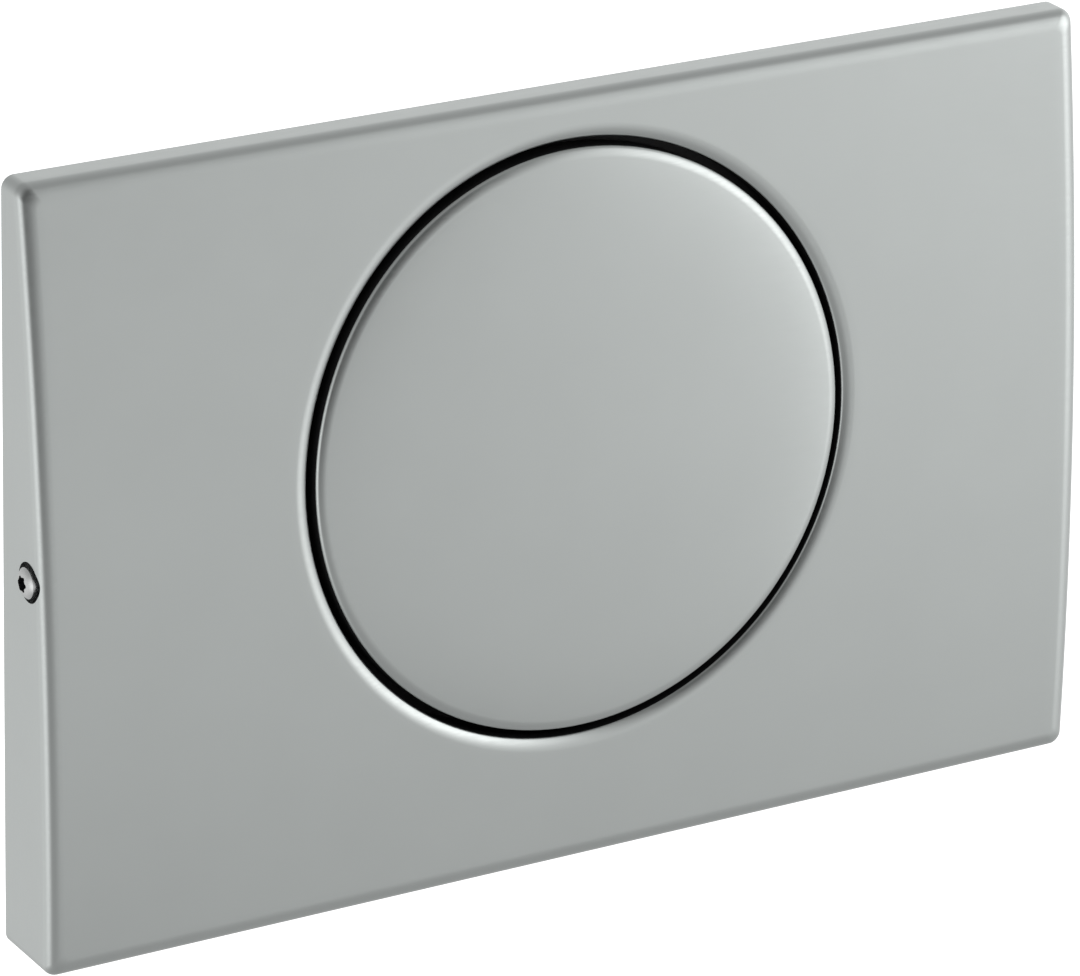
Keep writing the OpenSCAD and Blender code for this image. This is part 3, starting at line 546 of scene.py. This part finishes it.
def make_materials():
    return {
        "satin_steel": grained("satin_steel", (0.583, 0.612, 0.602), 1.0, 0.33, 0.03, 2200.0,
                               0.0000012, (0.08, 1, 1), 0.01),
        "screw_steel": grained("screw_steel", (0.66, 0.67, 0.665), 1.0, 0.26, 0.04, 2600.0,
                               0.000002, (1, 1, 1), 0.02),
        "zinc_steel": grained("zinc_steel", (0.62, 0.64, 0.68), 1.0, 0.34, 0.06, 900.0,
                              0.000004, (1, 1, 1), 0.06),
        "spring_steel": grained("spring_steel", (0.58, 0.58, 0.59), 1.0, 0.25, 0.05, 1500.0,
                                0.000003, (1, 0.2, 1), 0.05),
        "brass": grained("brass", (0.78, 0.58, 0.27), 1.0, 0.3, 0.06, 1500.0, 0.000003,
                         (1, 1, 1), 0.06),
        "black_plastic": grained("black_plastic", (0.012, 0.012, 0.013), 0.0, 0.55, 0.06, 1300.0,
                                 0.00001, (1, 1, 1), 0.12),
        "grey_plastic": grained("grey_plastic", (0.42, 0.44, 0.46), 0.0, 0.42, 0.05, 1100.0,
                                0.000008, (1, 1, 1), 0.05),
        "rubber": grained("rubber", (0.022, 0.022, 0.024), 0.0, 0.7, 0.08, 1800.0, 0.00002,
                          (1, 1, 1), 0.15),
    }


def dress(obj, mat):
    obj.data.materials.clear()
    obj.data.materials.append(mat)


def paint_shade_black(obj, mat, in_painted_shade):
    """Painted shade: gives a second material, the black one, to the faces whose middle is in the
    given place.
    """
    obj.data.materials.append(mat)
    for face in obj.data.polygons:
        if in_painted_shade(*(face.center / MM)):
            face.material_index = 1


# Painted shade: the cover's steel rim wall deep in the gap round the button gets the black
# material, so the gap reads dark
def in_cover_gap_shade(x, y, z):
    u, v, w = off_button(x, y, z)
    return math.hypot(u, v) < OPENING_R + RIM_REACH and bow_h(v) - w > SHADE_DROP_COVER


# Painted shade: the button's steel skirt below its rolled edge gets the black material, so the gap
# reads dark
def in_button_gap_shade(x, y, z):
    u, v, w = off_button(x, y, z)
    return math.hypot(u, v) > CORE_R and dome_w(u, v) - w > SHADE_DROP_BUTTON


# Painted shade: the inside of the steel screw's socket gets the black material, so the recess reads
# dark
def in_socket_shade(x, y, z):
    depth = PLATE_W / 2 + HEAD_WALL + HEAD_DOME + x
    return depth > 0.42 and math.hypot(y + SCREW_DEPTH, z - SCREW_RISE) < SOCKET_R + LOBE_R + 0.05


# Studio
CAMERA_AZ, CAMERA_EL, CAMERA_ROLL = 0.54503, 0.38799, 0.02685
CAMERA_DIST, CAMERA_LENS = 1.35396, 6575.98 * 36 / 1080
CAMERA_AIM = Vector((-0.00017, 0, -0.00569))


def make_camera():
    az, el, roll = CAMERA_AZ, CAMERA_EL, CAMERA_ROLL
    back = Vector((-math.sin(az) * math.cos(el), -math.cos(az) * math.cos(el), math.sin(el)))
    level = Vector((math.cos(az), -math.sin(az), 0))
    up = back.cross(level)
    right = level * math.cos(roll) + up * math.sin(roll)
    up = up * math.cos(roll) - level * math.sin(roll)
    data = bpy.data.cameras.new("camera")
    data.sensor_width, data.lens = 36, CAMERA_LENS
    data.clip_start, data.clip_end = 0.05, 50
    cam = bpy.data.objects.new("camera", data)
    turn = Matrix((right, up, back)).transposed().to_4x4()
    cam.matrix_world = Matrix.Translation(CAMERA_AIM + back * CAMERA_DIST) @ turn
    bpy.context.scene.collection.objects.link(cam)
    bpy.context.scene.camera = cam


def glow(name, strength):
    mat = bpy.data.materials.new(name)
    mat.use_nodes = True
    shader = mat.node_tree.nodes["Principled BSDF"]
    shader.inputs["Base Color"].default_value = (0.9, 0.9, 0.9, 1)
    shader.inputs["Roughness"].default_value = 0.9
    shader.inputs["Emission Color"].default_value = (1, 1, 1, 1)
    shader.inputs["Emission Strength"].default_value = strength
    return mat


FLOOR_Z, FLOOR_HALF = -0.25, 8.0


def make_stage():
    """A plain pale floor under a plain pale backdrop, seen by the camera alone."""
    mesh = bpy.data.meshes.new("floor")
    mesh.from_pydata([(x * FLOOR_HALF, y * FLOOR_HALF, FLOOR_Z)
                      for x, y in ((-1, -1), (1, -1), (1, 1), (-1, 1))], [], [(0, 1, 2, 3)])
    floor = bpy.data.objects.new("floor", mesh)
    dome_mesh = bpy.data.meshes.new("backdrop")
    bm = bmesh.new()
    bmesh.ops.create_uvsphere(bm, u_segments=64, v_segments=32, radius=FLOOR_HALF)
    bm.to_mesh(dome_mesh)
    bm.free()
    dome = bpy.data.objects.new("backdrop", dome_mesh)
    for obj, strength in ((floor, 1.0), (dome, 1.0)):
        bpy.context.scene.collection.objects.link(obj)
        obj.data.materials.append(glow(obj.name, strength))
        obj.visible_glossy = False
        obj.visible_diffuse = False
        obj.visible_transmission = False
        obj.visible_shadow = False


# Soft lights of the studio: direction towards the light, sharpness, strength
AMBIENT = 0.38
LIGHTS = {
    "right_front": ((0.72, -0.64, 0.27), 19.0, 1.88),
    "right_high": ((0.77, -0.63, 0.02), 40.0, 0.6),
    "right_low": ((0.73, -0.63, -0.26), 31.5, 0.73),
    "right": ((0.98, -0.03, 0.17), 12.0, 0.25),
    "front_low": ((0.19, -0.95, -0.26), 52.0, 0.6),
    "left": ((-0.89, -0.44, -0.16), 7.5, 0.95),
    "right_rear": ((0.78, 0.62, -0.03), 3.3, 0.72),
    "left_rear": ((-0.71, 0.61, -0.36), 5.0, 0.47),
}
# Dark parts of the room: direction, sharpness, share of the light taken away
DARKS = {
    "behind the camera": ((0.08, -0.88, 0.47), 8.6, 0.91),
    "left of the camera": ((-0.43, -0.90, 0.10), 14.0, 0.9),
}


def make_world():
    """Soft lights all round that fade smoothly into each other, with a dark side in front."""
    world = bpy.data.worlds.new("studio")
    bpy.context.scene.world = world
    world.use_nodes = True
    tree = world.node_tree
    background = tree.nodes["Background"]
    background.inputs["Strength"].default_value = 1.0
    coords = tree.nodes.new("ShaderNodeTexCoord")

    def math_node(kind, *values):
        node = tree.nodes.new("ShaderNodeMath")
        node.operation = kind
        for i, value in enumerate(values):
            if isinstance(value, (int, float)):
                node.inputs[i].default_value = value
            else:
                tree.links.new(value, node.inputs[i])
        return node.outputs[0]

    def lobe(direction, sharpness):
        """1 towards the direction, falling off smoothly away from it."""
        dot = tree.nodes.new("ShaderNodeVectorMath")
        dot.operation = "DOT_PRODUCT"
        tree.links.new(coords.outputs["Generated"], dot.inputs[0])
        dot.inputs[1].default_value = Vector(direction).normalized()
        power = math_node("MULTIPLY_ADD", dot.outputs["Value"], sharpness, -sharpness)
        return math_node("EXPONENT", power)

    total = AMBIENT
    for direction, sharpness, strength in LIGHTS.values():
        total = math_node("MULTIPLY_ADD", lobe(direction, sharpness), strength, total)
    for direction, sharpness, share in DARKS.values():
        lit = math_node("MULTIPLY_ADD", lobe(direction, sharpness), -share, 1.0)
        total = math_node("MULTIPLY", total, lit)
    tree.links.new(total, background.inputs["Color"])


# The part
SLOTS = {s["node"]: s["material_slot"] for s in frame["record"]["subparts"]}


def dress_nodes(mats):
    for name, obj in frame["nodes"].items():
        for slot in obj.material_slots:
            slot.material = mats[SLOTS[name]]


BODIES = {node: body for body, nodes in frame["record"]["behaviour"]["bodies"].items()
          for node in nodes}


def stand_in(obj, node, mat):
    """Dresses a piece and lets it stand for a node, on that node's body."""
    dress(obj, mat)
    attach(obj, BODIES[node])
    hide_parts(node)


def squash_spring(spring):
    """Gives the spring a mesh of its own."""
    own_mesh(spring)


def main():
    mats = make_materials()
    dress_nodes(mats)
    cover, button, screw = make_cover(), make_button(), make_side_screw()
    stand_in(cover, "cover_plate", mats["satin_steel"])
    stand_in(button, "push_button", mats["satin_steel"])
    stand_in(screw, "side_screw_left", mats["screw_steel"])
    # Painted shade: the steel faces deep in the gaps round the button and inside the screw's socket
    # get the black plastic material
    paint_shade_black(cover, mats["black_plastic"], in_cover_gap_shade)
    paint_shade_black(button, mats["black_plastic"], in_button_gap_shade)
    paint_shade_black(screw, mats["black_plastic"], in_socket_shade)
    stand_in(make_bolt(-1), "distance_bolt_left", mats["zinc_steel"])
    stand_in(make_bolt(1), "distance_bolt_right", mats["zinc_steel"])
    for node in ("return_spring_left", "return_spring_right"):
        spring = make_spring(node)
        stand_in(spring, node, mats["spring_steel"])
        squash_spring(spring)
    make_world()
    make_stage()
    make_camera()
    bpy.context.scene.view_settings.view_transform = "Standard"


main()
